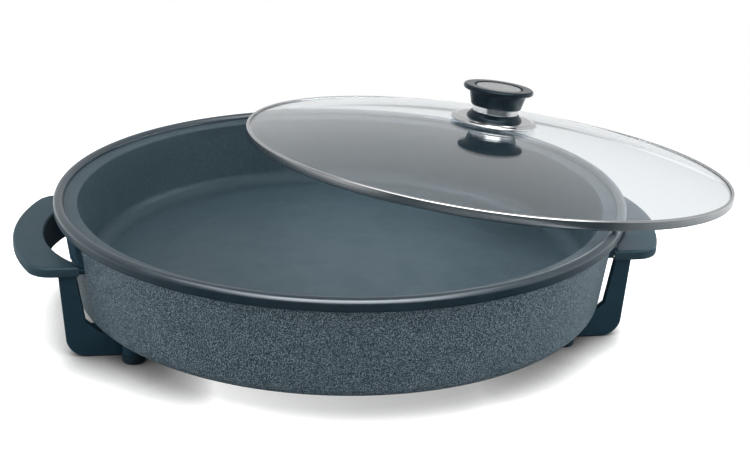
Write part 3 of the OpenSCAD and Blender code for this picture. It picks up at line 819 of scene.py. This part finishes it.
# painted reflection: glossy rays meet the paper as an emission, dim in front and bright behind,
# standing in for a studio flag
mirrorLook = {"offset": 0.03, "slant": 0.8, "depth": (-0.04, 0.60), "near": (0.05, 0.07, 0.08),
              "sides": (0.34, 0.37, 0.38), "far": (0.95, 0.97, 0.98)}
white = (1, 1, 1, 1)


# painted shade: the paper is darkened where the pan and its legs stand close above it, more widely
# at the sides
def paintedContactShade(f, x):
    spread = f.math("MAXIMUM", f.span(x, *paintedShadeLook["left"]), f.span(x, *paintedShadeLook["middle"]))
    spread = f.math("MAXIMUM", spread, f.span(x, *paintedShadeLook["right"]))
    near = f.add("ShaderNodeAmbientOcclusion", {"Distance": spread},
                 samples=paintedShadeLook["samples"]).outputs["AO"]
    offside = f.math("ABSOLUTE", f.math("ADD", x, paintedShadeLook["offset"]))
    return f.math("POWER", f.span(near, 0.0, paintedShadeLook["open"], 0.0, 1.0),
                  f.span(offside, *paintedShadeLook["deepen"]))


# painted reflection: the emission that glossy rays see instead of the lit paper
def paintedReflectionPaper(f, x, y):
    aside = f.math("ABSOLUTE", f.math("ADD", x, mirrorLook["offset"]))
    depth = f.math("ADD", y, f.times(aside, mirrorLook["slant"]))
    paintedTone = f.ramp(f.span(depth, *mirrorLook["depth"], 0.0, 1.0),
                  [(0.0, mirrorLook["near"]), (0.5, mirrorLook["sides"]), (1.0, mirrorLook["far"])])
    return f.add("ShaderNodeEmission", {"Color": paintedTone, "Strength": 1.0}).outputs["Emission"]


def paperFinish():
    f = Finish("floorPaper", Roughness=floorLook["rough"], Specular_IOR_Level=0.0)
    parts = f.axes(f.place)
    # painted shade: the contact shade darkens the paper's colour, its camera glow and the plain
    # white it fades into
    paintedTone = paintedContactShade(f, parts["X"])
    grey = f.times(paintedTone, floorLook["white"])
    f.feed("Base Color", f.add("ShaderNodeCombineColor", {
        "Red": grey, "Green": grey, "Blue": grey}).outputs["Color"])
    path = f.add("ShaderNodeLightPath").outputs
    seen = f.math("MAXIMUM", path["Is Camera Ray"], path["Is Transmission Ray"])
    glowing = f.times(f.times(paintedTone, seen), floorLook["glow"])
    glow = f.add("ShaderNodeEmission", {"Color": white, "Strength": glowing}).outputs["Emission"]
    lit = f.add("ShaderNodeAddShader", {0: f.shader.outputs["BSDF"], 1: glow}).outputs["Shader"]
    plain = f.add("ShaderNodeEmission", {"Color": white, "Strength": paintedTone}).outputs["Emission"]
    reach = f.add("ShaderNodeVectorMath", {0: f.place}, operation="LENGTH").outputs["Value"]
    away = f.span(reach, *floorLook["fade"], 0.0, 1.0)
    flat = f.math("MAXIMUM", f.times(away, seen), path["Is Transmission Ray"])
    paper = f.choose(flat, lit, plain)
    # glossy rays that are not transmission rays get the painted reflection instead of the paper
    mirrored = f.math("SUBTRACT", path["Is Glossy Ray"], path["Is Transmission Ray"])
    paper = f.choose(mirrored, paper, paintedReflectionPaper(f, parts["X"], parts["Y"]))
    # the paper is see-through from below, so that the underside can be looked at
    below = f.add("ShaderNodeNewGeometry").outputs["Backfacing"]
    f.showInstead(f.choose(below, paper, f.add("ShaderNodeBsdfTransparent").outputs["BSDF"]))
    return f.material


def makeFloor():
    bm = bmesh.new()
    bmesh.ops.create_circle(bm, cap_ends=True, segments=floorLook["segments"],
                            radius=floorLook["radius"])
    mesh = bpy.data.meshes.new("floor")
    bm.to_mesh(mesh)
    bm.free()
    mesh.materials.append(paperFinish())
    floor = bpy.data.objects.new("floor", mesh)
    scene.collection.objects.link(floor)


makeFloor()

# strengths of the world: as the camera sees it, as diffuse light, and on each side as gloss
# mirrors it; a side comes in between the two numbers of its From
worldLook = {"seen": 1.0, "ambient": 0.44, "front": 0.05, "back": 0.62, "backFrom": (-0.05, 0.55),
             "right": 0.70, "rightFrom": (0.55, 0.90), "left": 0.14, "leftFrom": (-0.60, -0.92)}
# a bright band above the front, as a long studio lamp; it fades at its ends, its foot and its top
brow = {"strength": 4.4, "ends": 0.12, "foot": (0.10, 0.30), "top": (0.96, 0.86),
        "ahead": (0.30, 0.05), "rightEnd": (0.35, 0.70), "leftEnd": (-0.45, -0.80)}


def makeWorld():
    world = bpy.data.worlds.new("studio")
    scene.world = world
    world.use_nodes = True
    tree = world.node_tree
    tree.nodes.clear()
    path = tree.nodes.new("ShaderNodeLightPath").outputs
    toward = tree.nodes.new("ShaderNodeSeparateXYZ")
    direction = tree.nodes.new("ShaderNodeTexCoord").outputs["Generated"]
    tree.links.new(direction, toward.inputs["Vector"])
    x, y, z = toward.outputs

    def sky(strength):
        node = tree.nodes.new("ShaderNodeBackground")
        node.inputs["Color"].default_value = white
        if isinstance(strength, bpy.types.NodeSocket):
            tree.links.new(strength, node.inputs["Strength"])
        else:
            node.inputs["Strength"].default_value = strength
        return node.outputs["Background"]

    def soft(value, low, high, outLow, outHigh):
        node = tree.nodes.new("ShaderNodeMapRange")
        node.interpolation_type = "SMOOTHSTEP"
        tree.links.new(value, node.inputs["Value"])
        span = {"From Min": low, "From Max": high, "To Min": outLow, "To Max": outHigh}
        for socket, number in span.items():
            node.inputs[socket].default_value = number
        return node.outputs["Result"]

    def combine(operation, first, second):
        node = tree.nodes.new("ShaderNodeMath")
        node.operation = operation
        tree.links.new(first, node.inputs[0])
        tree.links.new(second, node.inputs[1])
        return node.outputs["Value"]

    def side(value, name):
        return soft(value, *worldLook[name + "From"], worldLook["front"], worldLook[name])

    def choose(test, no, yes):
        node = tree.nodes.new("ShaderNodeMixShader")
        for index, socket in enumerate((test, no, yes)):
            tree.links.new(socket, node.inputs[index])
        return node.outputs["Shader"]

    height = combine("MULTIPLY", soft(z, *brow["foot"], 0.0, brow["strength"]),
                     soft(z, *brow["top"], 0.0, 1.0))
    ahead = soft(y, *brow["ahead"], 0.0, 1.0)
    centred = combine("MINIMUM", soft(x, *brow["rightEnd"], 1.0, brow["ends"]),
                      soft(x, *brow["leftEnd"], 1.0, brow["ends"]))
    lamp = combine("MULTIPLY", height, combine("MULTIPLY", ahead, centred))
    mirrored = combine("MAXIMUM", combine("MAXIMUM", side(y, "back"), lamp),
                       combine("MAXIMUM", side(x, "right"), side(x, "left")))
    shown = choose(path["Is Glossy Ray"], sky(worldLook["ambient"]), sky(mirrored))
    shown = choose(path["Is Camera Ray"], shown, sky(worldLook["seen"]))
    shown = choose(path["Is Transmission Ray"], shown, sky(worldLook["seen"]))
    tree.links.new(shown, tree.nodes.new("ShaderNodeOutputWorld").inputs["Surface"])


makeWorld()

# area lamps: metres and watts; only the key lamp is mirrored by gloss
lamps = {
    "key": {"place": (-0.2, -1.6, 2.0), "aim": (0, 0, 0.05), "size": (2.0, 0.8), "power": 21,
            "mirrored": True},
    "backTop": {"place": (-0.3, 0.7, 1.6), "aim": (0, 0, 0), "size": (0.9, 0.9), "power": 20,
                "mirrored": False},
    "leftBox": {"place": (-1.5, -0.15, 0.55), "aim": (0, 0, 0.05), "size": (1.6, 1.0), "power": 22,
                "mirrored": False},
    "rightBox": {"place": (1.5, -0.15, 0.55), "aim": (0, 0, 0.05), "size": (1.6, 1.0), "power": 38,
                 "mirrored": False},
}


def makeLamps():
    for name, lamp in lamps.items():
        data = bpy.data.lights.new(name, "AREA")
        data.shape = "RECTANGLE"
        data.size, data.size_y = lamp["size"]
        data.energy = lamp["power"]
        thing = bpy.data.objects.new(name, data)
        scene.collection.objects.link(thing)
        thing.visible_glossy = lamp["mirrored"]
        thing.location = lamp["place"]
        aim = Vector(lamp["aim"]) - Vector(lamp["place"])
        thing.rotation_euler = aim.to_track_quat("-Z", "Y").to_euler()


makeLamps()
print("stage and lamps ready")
